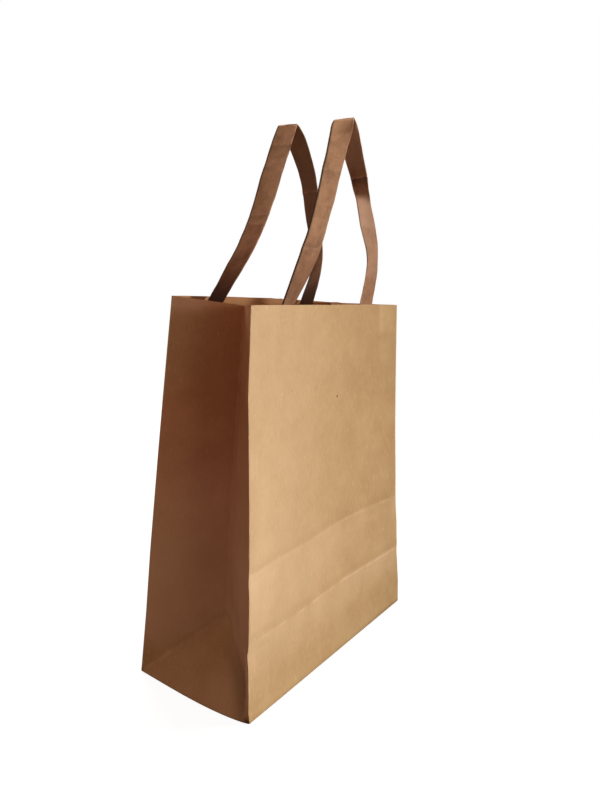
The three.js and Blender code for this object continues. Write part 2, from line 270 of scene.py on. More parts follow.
# Walls: rounded folds, and the rim's lift with its steepness along the front and the right gusset
BASE_ROUND = 1.3 * MM
DIAGONAL_ROUND = 2.4 * MM
FOLD_PASSES = 5
FOLD_REACH = 4
FOLD_EASE = 0.5
FRONT_LIFT = 0.6 * MM
FRONT_LIFT_SLOPE = 4
RIGHT_LIFT = 3 * MM
RIGHT_LIFT_SLOPE = 1.5
LEFT_LIFT = BACK_CORNER_LIFT + 1.2 * MM
RIM_BOW = 1.4 * MM

# Walls: how far the front left, front right and back left folds wander at heights above the base, in mm
WANDER_REACH = 26 * MM
LEFT_WANDER = [
    (0, 0), (8, 1.7), (20, 1.3), (40, 1.7), (50, 2.6), (55, 1.4), (68, 0.2), (94, -1.5),
    (104, -1.3), (114, -1.9), (155, -1.8), (216, -0.5), (245, 0.5), (275, -0.4), (310, -1.1),
]
RIGHT_WANDER = [
    (0, 2.2), (21, 2.5), (45, 0.4), (52, -0.8), (62, 0.9), (84, 2.5),
    (115, 2.3), (147, 2), (178, 1), (220, 0.4), (310, 0.2),
]
BACK_WANDER = [(0, 0), (100, 0.3), (200, 0.9), (310, 1.1)]

# Walls: unevenness of the faces, its lumps and how they are stretched, and where it stays calm
PANEL_WAVE = 0.55 * MM
PANEL_LUMPS = 105 * MM
PANEL_UPRIGHT = 0.6
PANEL_DEEP = 1.3
PANEL_RIPPLE = 0.16 * MM
RIPPLE_LUMPS = 34 * MM
GUSSET_WAVE = 0.6 * MM
GUSSET_LUMPS = 60 * MM
GUSSET_UPRIGHT = 0.7
GUSSET_DEEP = 1.6
CALM_EDGE = 14 * MM
CALM_BASE = 18 * MM
CALM_PATCH = 25 * MM

# Walls: where each crease's soft slope ends, by a height over the crease, a bow and its place and width,
# and the small ridge or dip along it
LOW_END = (7 * MM, 3 * MM, 10 * MM, 70 * MM)
HIGH_END = (6 * MM, 5 * MM, 20 * MM, 75 * MM)
CREASE_RIDGE = 0.3 * MM
CREASE_WIDTH = 2.2 * MM
HIGH_DIP = 0.7
RIDGE_EVEN = 0.6
RIDGE_LUMPS = 60 * MM
RIDGE_END = 3 * MM

# Walls: relief of the strap ends that shows through, and the uneven cut of the rim
STRAP_PRINT = 0.6 * MM
PRINT_SIDE = (STRAP_WIDTH / 2 + 1 * MM, 2.4 * MM)
PRINT_END = (STRAP_TUCK + 2 * MM, 4 * MM)
RIM_FRAY = 0.3 * MM
RIM_ZONE = 4 * MM
RIM_LUMPS = 30 * MM
RIM_DEEP = 1.2
RIM_WAVE = 0.25
FIBRE_LUMPS = 9 * MM
FIBRE_LEVEL = 1
FRAY_ELSEWHERE = 0.35


def creased(z):
    above = (z - UPPER_CREASE) / (BAG_HEIGHT - UPPER_CREASE)
    high = np.cos(math.pi / 2 * np.clip(above, 0, 1))
    return np.where(z < UPPER_CREASE, np.maximum(0, z - LOWER_CREASE) / CREASE_SPACING, high)


def front_face(z):
    return -BAG_DEPTH / 2 + FRONT_PRESS * creased(z)


def back_face(z):
    return BAG_DEPTH / 2 - (BAG_DEPTH - MOUTH_DEPTH) * z / BAG_HEIGHT + BACK_BOW * creased(z)


def diagonal_share(depth):
    """Height of the gusset's base triangle at a share of the depth, as a share of the lower crease."""
    fold = np.maximum(0, 1 - np.abs(2 * depth - 1))
    return np.maximum(fold, 1e-6) ** np.where(depth < 0.5, FRONT_DIAGONAL_BOW, 1)


def gusset_tuck(depth, z):
    fold = np.maximum(0, 1 - np.abs(2 * depth - 1))
    high = fold * lerp(TUCK_LOW, TUCK_TOP, (z - LOWER_CREASE) / (BAG_HEIGHT - LOWER_CREASE))
    diagonal = diagonal_share(depth)
    belly = -BASE_BULGE * np.sin(math.pi * depth ** BULGE_SKEW)
    up = np.clip((z - WALL_BOTTOM) / (LOWER_CREASE - WALL_BOTTOM), 0, None)
    risen = soft_min(1, up / diagonal, DIAGONAL_ROUND / LOWER_CREASE / diagonal)
    low = lerp(belly, TUCK_LOW * fold, np.clip(risen, 0, 1))
    return np.where(z > LOWER_CREASE, high, low) * (fold > 0)


def wall_columns():
    """Each column's panel, its place across the bag, its share of the depth and its rim lift."""
    front = graded(BAG_WIDTH, FOLD_STEP, WALL_STEP)[:-1]
    half = graded(BAG_DEPTH / 2, FOLD_STEP, GUSSET_STEP)
    gusset = np.concatenate([half / 2, 0.5 + half[1:] / 2])
    right = gusset[:-1]
    left = gusset[::-1][:-1]
    panel = np.repeat([0, 1, 2, 3], [len(front), len(right), len(front), len(left)])
    across = np.concatenate([2 * front - 1, np.ones(len(right)), 1 - 2 * front, -np.ones(len(left))])
    depth = np.concatenate([0 * front, right, 0 * front + 1, left])
    lift_front = FRONT_LIFT * np.minimum(1, FRONT_LIFT_SLOPE * (1 - front))
    lift_right = RIGHT_LIFT * np.minimum(1, RIGHT_LIFT_SLOPE * right)
    lift_back = lerp(RIGHT_LIFT, LEFT_LIFT, front) + RIM_BOW * np.sin(math.pi * front)
    lift_left = np.where(left > 0.5, LEFT_LIFT * (2 * left - 1), FRONT_LIFT * (1 - 2 * left))
    lift = np.concatenate([lift_front, lift_right, lift_back, lift_left])
    return panel, across, depth, lift


def wall_rows():
    """Each row's level, and how far the rounded foot of the wall is drawn in there."""
    turn = np.linspace(math.pi / 2, 0, ROUND_ROWS)
    rounded = BASE_ROUND * (1 - np.sin(turn))
    low = lerp(BASE_ROUND, LOWER_CREASE, graded(LOWER_CREASE - BASE_ROUND, *LOW_STEPS))
    crease_rows = np.linspace(0, CREASE_ZONE, CREASE_ROWS + 1)[:-1]
    spacing = graded(CREASE_SPACING - CREASE_ZONE, *MIDDLE_STEPS)
    middle = lerp(LOWER_CREASE + CREASE_ZONE, UPPER_CREASE, spacing)
    upper = BAG_HEIGHT - UPPER_CREASE - CREASE_ZONE
    high = BAG_HEIGHT - upper * (1 - graded(upper, *HIGH_STEPS))
    z = np.concatenate([
        rounded[:-1], low[:-1], LOWER_CREASE + crease_rows, middle[:-1], UPPER_CREASE + crease_rows, high,
    ])
    bend = np.sqrt(np.maximum(0, BASE_ROUND**2 - (BASE_ROUND - z) ** 2))
    return z, np.where(z < BASE_ROUND, BASE_ROUND - bend, 0)


def crease_end(crease, x, height, bow, place, width):
    return crease + height + bow * bell(x - place, width)


def wall_grid():
    """Places of the folded sheet, by column and row, and their distances to its folds."""
    panel, across, depth, lift = wall_columns()
    levels, under = wall_rows()
    climb = np.clip((levels - UPPER_CREASE) / (BAG_HEIGHT - UPPER_CREASE), 0, 1)
    z = levels[None, :] + lift[:, None] * climb[None, :]
    v = depth[:, None] + 0 * z
    across = across[:, None]
    x = across * (BAG_WIDTH / 2 - gusset_tuck(v, z))
    y = lerp(front_face(z), back_face(z), v)
    is_front = (panel == 0)[:, None]
    is_back = (panel == 2)[:, None]
    is_gusset = ~(is_front | is_back)
    side_edge = (1 - np.abs(across)) * BAG_WIDTH / 2 + 0 * z
    centre_gap = np.abs(v - 0.5) * BAG_DEPTH
    corner_gap = np.minimum(v, 1 - v) * BAG_DEPTH
    return SimpleNamespace(
        panel=panel, across=across, depth=depth, levels=levels, under=under, x=x, y=y, z=z, v=v,
        is_front=is_front, is_back=is_back, is_gusset=is_gusset, is_left_gusset=is_gusset & (across < 0),
        side_edge=side_edge, centre_gap=centre_gap, corner_gap=corner_gap,
        edge=np.where(is_gusset, np.minimum(corner_gap, centre_gap), side_edge),
        diagonal=LOWER_CREASE * diagonal_share(v),
        low_end=crease_end(LOWER_CREASE, x, *LOW_END),
        high_end=crease_end(UPPER_CREASE, x, *HIGH_END),
    )


def round_folds(points, grid):
    starts = np.flatnonzero(np.diff(grid.panel, prepend=grid.panel[-1]))
    centres = np.flatnonzero(grid.depth == 0.5)
    count = len(grid.panel)
    near = np.zeros(count)
    for fold in np.concatenate([starts, centres]):
        for step in range(-FOLD_REACH, FOLD_REACH + 1):
            near[(fold + step) % count] = 1
    for _ in range(FOLD_PASSES):
        mean = (np.roll(points, 1, axis=0) + np.roll(points, -1, axis=0)) / 2
        points[:, :, :2] += FOLD_EASE * near[:, None, None] * (mean - points)[:, :, :2]


def wander_folds(points, grid):
    """The left folds wander in and out, and the front right one sideways."""
    near_front = bell(np.minimum(grid.v * BAG_DEPTH * 2, BAG_DEPTH), WANDER_REACH)
    near_back = bell(np.minimum((1 - grid.v) * BAG_DEPTH * 2, BAG_DEPTH), WANDER_REACH)
    near_left = bell((1 + grid.across) * BAG_WIDTH / 2, WANDER_REACH)
    near_right = bell((1 - grid.across) * BAG_WIDTH / 2, WANDER_REACH)
    for axis, reach, stations in (
        (1, near_left * near_back, BACK_WANDER),
        (1, near_left * near_front, LEFT_WANDER),
        (0, near_right * near_front, RIGHT_WANDER),
    ):
        points[:, :, axis] += reach * np.interp(grid.z / MM, *np.array(stations).T) * MM


def strap_print(side, x, z):
    """Relief of the glued strap ends that shows through a wall."""
    handle = HANDLES["front" if side < 0 else "back"]
    below = BAG_HEIGHT - z
    relief = 0
    for hand, leg in handle["legs"].items():
        middle = hand * (BAG_WIDTH / 2 - leg["inset"] + leg["splay"] * below)
        relief = relief + before(np.abs(x - middle), *PRINT_SIDE) * before(below, *PRINT_END)
    return relief * STRAP_PRINT


def wall_shift(grid):
    """How far the faces stand out from the plain folded form."""
    x, y, z = grid.x, grid.y, grid.z
    calm = rise(grid.edge, 0, CALM_EDGE) * rise(z, 0, CALM_BASE) * fall(z, PATCH_LEVEL, CALM_PATCH)
    wide = PANEL_WAVE * waves(SEEDS["panel"], PANEL_LUMPS, x, PANEL_UPRIGHT * z, PANEL_DEEP * y)
    tucked = GUSSET_WAVE * waves(SEEDS["gusset"], GUSSET_LUMPS, GUSSET_DEEP * y + x, GUSSET_UPRIGHT * z)
    fine = PANEL_RIPPLE * waves(SEEDS["ripple"], RIPPLE_LUMPS, x, z, y)
    shift = calm * (np.where(grid.is_gusset, tucked, wide) + fine)
    ridge = bell(z - grid.low_end, CREASE_WIDTH) - HIGH_DIP * bell(z - grid.high_end, CREASE_WIDTH)
    uneven = lerp(waves(SEEDS["ridge"], RIDGE_LUMPS, x), 1, RIDGE_EVEN)
    shift += CREASE_RIDGE * ridge * uneven * rise(grid.edge, 0, RIDGE_END) * ~grid.is_gusset
    for side, wall in ((-1, grid.is_front), (1, grid.is_back)):
        shift += np.where(wall, strap_print(side, x, z), 0)
    return shift


def rim_fray(grid):
    """The cut edge of the rim is not quite straight, most of all at the back."""
    at_rim = rise(grid.levels, BAG_HEIGHT - RIM_ZONE, RIM_ZONE)[None, :]
    fray = RIM_WAVE * waves(SEEDS["rim"], RIM_LUMPS, grid.x, RIM_DEEP * grid.y)
    fray = fray + np.maximum(0, waves(SEEDS["fibres"], FIBRE_LUMPS, grid.x, grid.y) - FIBRE_LEVEL)
    return RIM_FRAY * at_rim * np.where(grid.is_back, fray, FRAY_ELSEWHERE * fray)


# Pale marks on the sheet, fold wear with painted highlight, sheen and light: strengths from 0 to 1, lines by
# strength and width, sheen bands by their strength at the left and right, and soft ends by a place and a
# length
FOLD_LINE, CORNER_LINE, DIAGONAL_LINE = (1, 1.1 * MM), (0.9, 0.8 * MM), (0.4, 1.2 * MM)
CENTRE_LINE, CENTRE_START = (0.4, 0.9 * MM), (LOWER_CREASE, 6 * MM)
LOW_LINE, HIGH_LINE, LINE_DROP = (0.6, 1.2 * MM), (0.3, 1.2 * MM), 1 * MM
PALE_EVEN, PALE_LUMPS = 0.65, 12 * MM
# Painted sheen: paler bands between and below the creases of the front and back walls
LOW_SHEEN, LOW_SHEEN_START = (0.22, 0.42), (22 * MM, 30 * MM)
HIGH_SHEEN, HIGH_SHEEN_FOOT = (0.3, 0.16), 0.3
LOW_END_SOFT, HIGH_END_SOFT, SHEEN_EVEN = 4 * MM, 3 * MM, 0.8
# Painted sheen: the front wall is paler towards its left
FRONT_SHEEN, FRONT_SHEEN_END, FRONT_SHEEN_START = 0.38, (55 * MM, 165 * MM), (0, 100 * MM)
# Painted light: a paler facet beside the front fold of each gusset
FACET_WIDTH, FACET_SOFT = (3 * MM, 16 * MM), 2.5 * MM
FACET_START, FACET_END = (4 * MM, 12 * MM), (LOWER_CREASE + 4 * MM, 8 * MM)
# Painted light on the gussets: a broad band beside the front fold, and the gusset above its base triangle
BESIDE_LINE, BESIDE_LEVEL, BESIDE_DEPTH = (0.8, 65 * MM), 95 * MM, (0.4, 0.2)
PATCH_EDGE, PATCH_EDGE_LINE, PATCH_TONE_START = 85 * MM, (0.28, 4 * MM), (278 * MM, 8 * MM)
GUSSET_LIGHT, GUSSET_LIGHT_START, GUSSET_LIGHT_END = 0.58, (15 * MM, 25 * MM), (260 * MM, 150 * MM)
TRIANGLE_BELOW, TRIANGLE_SOFT = 2 * MM, 10 * MM
# Painted highlight along the top of the gussets towards the back fold
RIM_HIGHLIGHT, RIM_HIGHLIGHT_START, RIM_HIGHLIGHT_DEPTH = 0.8, (BAG_HEIGHT - 9 * MM, 10 * MM), (0.6, 0.3)
INNER_PALE = 0.3

# Painted shade on the sheet
LOW_GROOVE_SHADE, HIGH_GROOVE_SHADE, GROOVE_RISE = (0.06, 3 * MM), (0.04, 3.5 * MM), 3.5 * MM
# Painted contact shadow along the foot of the gussets and the walls, darker towards the right
GUSSET_FOOT_SHADOW = (0.5, 0.9 * MM)
FOOT_SHADOW, FOOT_SHADOW_RIGHT, FOOT_SHADOW_START = 0.2, 0.25, (0, 110 * MM)
FOOT_LINE, FOOT_LINE_RISE = 2 * MM, 1 * MM
# Painted shade: the upper right of the front wall is a little darker, but not by the patch edge
SHADED_DARK, SHADED_SIDE, SHADED_START = 0.07, (-20 * MM, 80 * MM), (190 * MM, 60 * MM)
PATCH_PALE_SIDE = (79 * MM, 8 * MM)
# Painted shade at the foot of the gussets' folds, and in the corner and the slit by the left gusset's front
# fold
FOLD_FOOT_SHADOW, FOLD_FOOT_SHADOW_HEIGHT = (0.6, 3 * MM), 4 * MM
CORNER_SHADE, CORNER_SHADE_SIDE, CORNER_SHADE_END = 0.42, (20 * MM, 16 * MM), (46 * MM, 24 * MM)
SLIT_SIDE, SLIT_END = (7.5 * MM, 5 * MM), (5.6 * MM, 4 * MM)
# Painted shade over the whole inner face of the sheet
INNER_SHADE = 0.22

# Painted warm shade on the sheet
WARM_BASE, WARM_WALL, WARM_WALL_LENGTH = 0.1, 0.25, 30 * MM
WARM_HIGH, WARM_HIGH_START = 0.65, (90 * MM, 160 * MM)
COOL_BACK, COOL_DEPTH, COOL_START = 0.7, (0.55, 0.4), (210 * MM, 70 * MM)


def facet_mark(grid):
    """Where a narrow facet runs down beside the front fold, below the crease; painted light makes it paler.
    """
    width = lerp(*FACET_WIDTH, np.clip(grid.z / LOWER_CREASE, 0, 1))
    facet = before(grid.corner_gap, width, FACET_SOFT) * fall(grid.z, *FACET_END)
    return facet * grid.is_gusset * (grid.v < 0.5)


def patch_tone(grid):
    """The top of the front wall, where the upright edge of the patch shows through at the right."""
    return rise(grid.z, *PATCH_TONE_START) * grid.is_front


def pale_marks(grid, facet):
    """Where the sheet is paler: fold wear with painted highlight, painted sheen and light, and the patch
    edge.
    """
    x, z, v = grid.x, grid.z, grid.v
    low_end, high_end, is_gusset = grid.low_end, grid.high_end, grid.is_gusset
    broken = np.clip(lerp(waves(SEEDS["wear_and_light"], PALE_LUMPS, x, grid.y, z), 1, PALE_EVEN), 0, 1)
    centre = line(grid.centre_gap, *CENTRE_LINE) * rise(z, *CENTRE_START)
    creases = most(
        line(z - low_end + LINE_DROP, *LOW_LINE),
        line(z - high_end + LINE_DROP, *HIGH_LINE),
    )
    wear_and_painted_light = broken * most(
        np.where(is_gusset, centre, line(grid.side_edge, *FOLD_LINE)),
        line(grid.corner_gap, *CORNER_LINE) * is_gusset,
        line(z - grid.diagonal, *DIAGONAL_LINE) * is_gusset,
        creases * ~is_gusset,
    )

    # Soft bands of painted sheen end at each crease
    rightward = np.clip(0.5 + x / BAG_WIDTH, 0, 1)
    is_low = before(z, low_end, LOW_END_SOFT)
    low_sheen = rise(z, *LOW_SHEEN_START) * is_low * lerp(*LOW_SHEEN, rightward)
    high_sheen = (1 - is_low) * before(z, high_end, HIGH_END_SOFT)
    high_sheen = high_sheen * lerp(HIGH_SHEEN_FOOT, 1, np.clip((z - low_end) / (high_end - low_end), 0, 1))
    high_sheen = high_sheen * lerp(*HIGH_SHEEN, rightward)
    sheen_bands = most(low_sheen, high_sheen) * ~is_gusset * lerp(broken, 1, SHEEN_EVEN)

    # Painted sheen towards the left of the front wall
    front = FRONT_SHEEN * fall(x, *FRONT_SHEEN_END) * rise(z, *FRONT_SHEEN_START) * grid.is_front
    # Painted light on the gussets, beside the front fold and above the base triangle
    beside_fold = line(z - BESIDE_LEVEL, *BESIDE_LINE) * fall(v, *BESIDE_DEPTH)
    gusset = rise(z, *GUSSET_LIGHT_START) * fall(z, *GUSSET_LIGHT_END)
    gusset = gusset * rise(z, grid.diagonal - TRIANGLE_BELOW, TRIANGLE_SOFT)
    # Painted highlight at the top of the gussets, towards the back
    rim_highlight = rise(z, *RIM_HIGHLIGHT_START) * rise(v, *RIM_HIGHLIGHT_DEPTH)
    return most(
        np.minimum(1, most(wear_and_painted_light, front) + sheen_bands),
        facet * rise(z, *FACET_START),
        beside_fold * is_gusset,
        line(x - PATCH_EDGE, *PATCH_EDGE_LINE) * patch_tone(grid),
        GUSSET_LIGHT * gusset * is_gusset,
        RIM_HIGHLIGHT * rim_highlight * is_gusset,
    )


def painted_shade_marks(grid, facet):
    """Painted shade: by the creases, along the foot, on the upper right of the front and in the gussets'
    corners.
    """
    x, z = grid.x, grid.z
    corner_gap, is_gusset = grid.corner_gap, grid.is_gusset
    # Painted shade in a groove a little above each crease
    groove_shade = line(z - grid.low_end - GROOVE_RISE, *LOW_GROOVE_SHADE)
    groove_shade = groove_shade + line(z - grid.high_end - GROOVE_RISE, *HIGH_GROOVE_SHADE)
    # Painted contact shadow along the foot
    wall_foot_shadow = FOOT_SHADOW + FOOT_SHADOW_RIGHT * rise(x, *FOOT_SHADOW_START)
    foot = np.where(
        is_gusset,
        line(z, *GUSSET_FOOT_SHADOW),
        wall_foot_shadow * bell(z - FOOT_LINE_RISE, FOOT_LINE),
    )
    # Painted shade on the upper right of the front wall
    shaded = rise(x, *SHADED_SIDE) * rise(z, *SHADED_START) * grid.is_front
    shaded = shaded * (1 - patch_tone(grid) * rise(x, *PATCH_PALE_SIDE))
    # Painted shade in the corner and the slit at the foot of the left gusset's front fold
    left_fold = grid.is_left_gusset & (grid.v < 0.5)
    crossing = BAG_DEPTH / 2 * np.clip(z / LOWER_CREASE, 0, 1) ** (1 / FRONT_DIAGONAL_BOW)
    corner = fall(corner_gap - crossing, *CORNER_SHADE_SIDE)
    corner = corner * fall(z, *CORNER_SHADE_END) * (1 - facet)
    slit_shadow = fall(corner_gap, *SLIT_SIDE) * fall(z, *SLIT_END)
    return most(
        groove_shade * ~is_gusset,
        foot,
        SHADED_DARK * shaded,
        line(corner_gap, *FOLD_FOOT_SHADOW) * bell(z, FOLD_FOOT_SHADOW_HEIGHT) * is_gusset,
        CORNER_SHADE * corner * left_fold,
        slit_shadow * left_fold,
    )


def warm_shade_marks(grid):
    """Painted warm shade on the left gusset, stronger towards the rim, but not beside the back fold."""
    z = grid.z
    warm_shade = WARM_BASE + WARM_WALL * rise(z, grid.diagonal, WARM_WALL_LENGTH)
    warm_shade = warm_shade + WARM_HIGH * rise(z, *WARM_HIGH_START)
    cool = COOL_BACK * rise(grid.v, *COOL_DEPTH) * rise(z, *COOL_START)
    return warm_shade * (1 - cool) * grid.is_left_gusset


# Base: gaps between the floor, the flaps and the walls, so that no two faces lie in one plane
FLOOR_GAP = 0.1 * MM
FLAP_GAP = 0.02 * MM
BASE_GAP = 0.01 * MM


def slab(outline, bottom, top):
    outline = np.asarray(outline)
    count = len(outline)
    low = np.column_stack([outline, np.full(count, bottom)])
    high = np.column_stack([outline, np.full(count, top)])
    ring = np.arange(count)
    after = (ring + 1) % count
    sides = np.stack([ring, after, after + count, ring + count], axis=-1).tolist()
    caps = [ring[::-1].tolist(), (ring + count).tolist()]
    return np.concatenate([low, high]), sides + caps


def flap_outline(side):
    edge = BAG_DEPTH / 2 - BASE_ROUND
    corner = BAG_WIDTH / 2 - BASE_ROUND
    reach = edge + FLAP_OVERLAP
    outline = [
        (-corner, side * edge),
        (corner, side * edge),
        (corner - reach, side * (edge - reach)),
        (reach - corner, side * (edge - reach)),
    ]
    return outline[::-1] if side > 0 else outline


def make_bag(material):
    grid = wall_grid()
    points = np.stack([grid.x, grid.y, grid.z], axis=2)
    round_folds(points, grid)
    wander_folds(points, grid)
    normal = grid_normals(points)
    flat = normal.copy()
    flat[:, :, 2] = 0
    flat /= np.linalg.norm(flat, axis=2, keepdims=True)
    points -= flat * grid.under[None, :, None]
    points += normal * wall_shift(grid)[:, :, None]
    points[:, :, 2] += rim_fray(grid)

    inside = points - PAPER * grid_normals(points)
    inside[:, -1, 2] = points[:, -1, 2]
    inside[:, :, 2] = np.maximum(inside[:, :, 2], PAPER / 2)

    facet = facet_mark(grid)
    wear_and_light, shade_mark, warm_shade = pale_marks(grid, facet), painted_shade_marks(grid, facet), warm_shade_marks(grid)
    # The pale mark is fold wear with painted highlight, sheen and light; the dark and warm marks are painted
    # shade, and the inner face of the sheet is painted darker and warmer as shade
    marks = {
        "wear_and_painted_light": skins(wear_and_light, INNER_PALE * wear_and_light),
        "painted_shade": skins(shade_mark, np.full_like(shade_mark, INNER_SHADE)),
        "painted_warm_shade": skins(warm_shade, np.ones_like(warm_shade)),
    }

    # Walls, floor and base flaps in one mesh
    level = int(np.argmin(np.abs(grid.levels - BASE_ROUND)))
    floor_line = inside[:, level, :2] - FLOOR_GAP * flat[:, level, :2]
    parts = [
        (sheet_points(points, inside), sheet_faces(*grid.z.shape, True)),
        slab(floor_line, WALL_BOTTOM, WALL_BOTTOM + PAPER),
        slab(flap_outline(1), PAPER + FLAP_GAP, WALL_BOTTOM - FLAP_GAP),
        slab(flap_outline(-1), BASE_GAP, PAPER - FLAP_GAP),
    ]
    start = 0
    all_faces = []
    for part_points, part_faces in parts:
        all_faces.extend([[int(i) + start for i in f] for f in part_faces])
        start += len(part_points)
    unmarked = np.zeros(start - len(parts[0][0]))
    marks = {name: np.concatenate([values, unmarked]) for name, values in marks.items()}
    return make_object("bag_sheet", np.concatenate([p for p, _ in parts]), all_faces, marks, material)


# Straps: steps of the mesh and the section of the folded tape, flat with rounded long edges
GLUED_STEPS = 10
RISING_STEPS = 18
LEG_STEPS = 160
FOLD_STEPS = 16
STRAP_COLUMNS = 15
EDGE_CROWDING = 1.8
ROUND_FROM = 0.955
EDGE_THICKNESS = 0.12

# Straps: unevenness, and the fold's reach along the strap
FOLD_REACH_ALONG = 7 * MM
BLUNT_FROM = 0.2
EDGE_WOBBLE, WOBBLE_LUMPS, WOBBLE_ACROSS = 0.12 * MM, 22 * MM, 9 * MM
CUP, CUP_LUMPS, CUP_ACROSS = 0.18 * MM, 40 * MM, 14 * MM
LOOSE_LENGTH = 30 * MM
STRAP_KINK = 0.4 * MM

# Straps: pale lines of wear and painted highlight on the creases, the long edges and the fold, painted shade
# below the creases, along the left edge and on the feet, and stretches of painted light and shade
LINE_WOBBLE, LINE_LUMPS = 0.6 * MM, 9 * MM
LINE_PALE, LINE_WIDTH = 0.9, 0.7 * MM
BAND_SHADE, BAND_START, BAND_FADE = 0.55, 1.2 * MM, 5 * MM
EDGE_PALE_WIDTH, EDGE_PALE_LUMPS, EDGE_PALE_EVEN = 0.7 * MM, 15 * MM, 0.5
TOP_LINE = (0.5, 3 * MM)
STRAP_EDGE, STRAP_EDGE_REACH, STRAP_EDGE_END = 1.1 * MM, 1.6, 6 * MM
RIM_SHADE, RIM_SHADE_REACH = 80 * MM, 1.1
STRETCH_SOFT = 8 * MM


def through(stations, place):
    """Smooth value through stations of place and value."""
    places, values = np.array(stations).T
    last = len(places) - 1

    def slope(i):
        a, b = max(0, i - 1), min(last, i + 1)
        return (values[b] - values[a]) / (places[b] - places[a])

    if place <= places[0]:
        return values[0]
    n = max(1, int(np.argmax(places >= place)))
    width = places[n] - places[n - 1]
    s = (place - places[n - 1]) / width
    blend = s * s * (3 - 2 * s)
    tail = s * (1 - s) * ((1 - s) * slope(n - 1) - s * slope(n)) * width
    return lerp(values[n - 1], values[n], blend) + tail


def seat_on(side, z, layer):
    wall = front_face(z) if side < 0 else back_face(z)
    return wall - side * (PAPER + GLUE_LINE + layer)


def leg_sections(handle, hand):
    """Middle, turn and share of the width at each step up a leg, from its glued end to the fold."""
    side = handle["side"]
    leg = handle["legs"][hand]
    fold = math.radians(handle["fold_turn"])
    offset = -hand * FOLD_RADIUS * np.array([math.sin(fold), -math.cos(fold)])
    offset += hand * STRAP_SLIDE / 2 * np.array([math.cos(fold), math.sin(fold)])
    foot = hand * (BAG_WIDTH / 2 - leg["inset"])
    top = handle["top_place"] + offset[0]
    lean = 0 if side < 0 else (MOUTH_DEPTH - BAG_DEPTH) / BAG_HEIGHT
    rim_turn = math.radians(leg["turn"][0][1])
    glue_turn = math.radians(handle["glue_turn"])

    def stand_off(turn):
        return -side * (STRAP_WIDTH / 2 + STRAP_CLEARANCE) * abs(math.sin(turn))

    def seat(z):
        return float(seat_on(side, z, STRAP_THICKNESS / 2))

    def width(s):
        if leg["pinch"] is None:
            return 1
        place, spread, depth = leg["pinch"]
        return 1 - depth * float(bell(s - place, spread))

    def on_wall(below, turn):
        z = BAG_HEIGHT - below
        return foot + hand * leg["splay"] * below, seat(z) + stand_off(turn), z, turn, 1

    sections = []
    for s in np.linspace(0, 1, GLUED_STEPS + 1):
        sections.append(on_wall(lerp(STRAP_TUCK, PATCH_DROP, s), glue_turn))
    for s in np.linspace(0, 1, RISING_STEPS + 1)[1:-1]:
        sections.append(on_wall(lerp(PATCH_DROP, 0, s), lerp(glue_turn, rim_turn, float(smooth(s)))))
    for s in np.linspace(0, 1, LEG_STEPS + 1):
        height = s * handle["rise"]
        x = lerp(foot, top, s) + leg["swing"] * through(leg["curve"], s)
        y = seat(BAG_HEIGHT) + stand_off(rim_turn) * (1 - s) ** 2
        y += lean * height + (offset[1] - handle["lean"]) * s**2
        sections.append((x, y, BAG_HEIGHT + height, math.radians(through(leg["turn"], s)), width(s)))
    return np.array(sections)


def fold_sections(handle, left, right):
    turn = math.radians(handle["fold_turn"])
    centre = (left[-1, :3] + right[-1, :3]) / 2
    normal = np.array([math.sin(turn), -math.cos(turn), 0])
    level = np.array([math.cos(turn), math.sin(turn), 0])
    sections = []
    for s in np.linspace(0, 1, FOLD_STEPS + 1)[1:-1]:
        angle = math.pi * s
        middle = centre + normal * FOLD_RADIUS * math.cos(angle) + level * STRAP_SLIDE * (s - 0.5)
        middle[2] += FOLD_RADIUS * math.sin(angle)
        sections.append((*middle, turn, 1))
    return np.array(sections)


def strap_creases(handle, seed, along, across, lengthwise):
    """The pale lines of a strap's creases, wear and painted highlight, and the bands of painted shade below
    them.
    """
    pale_line = 0 * across
    shade_band = 0 * across
    wobble = LINE_WOBBLE * waves(seed, LINE_LUMPS, across * STRAP_WIDTH, lengthwise)
    for hand, share, pale, deep in handle["creases"]:
        row = GLUED_STEPS + RISING_STEPS + round(share * LEG_STEPS)
        place = along[row] if hand < 0 else along[len(along) - 1 - row]
        away = hand * (lengthwise - place) + wobble
        pale_line = most(pale_line, pale * bell(away, LINE_WIDTH))
        band = rise(away, 0, BAND_START) * bell(np.maximum(0, away - BAND_START), BAND_FADE)
        shade_band = most(shade_band, deep * band)
    return pale_line, shade_band


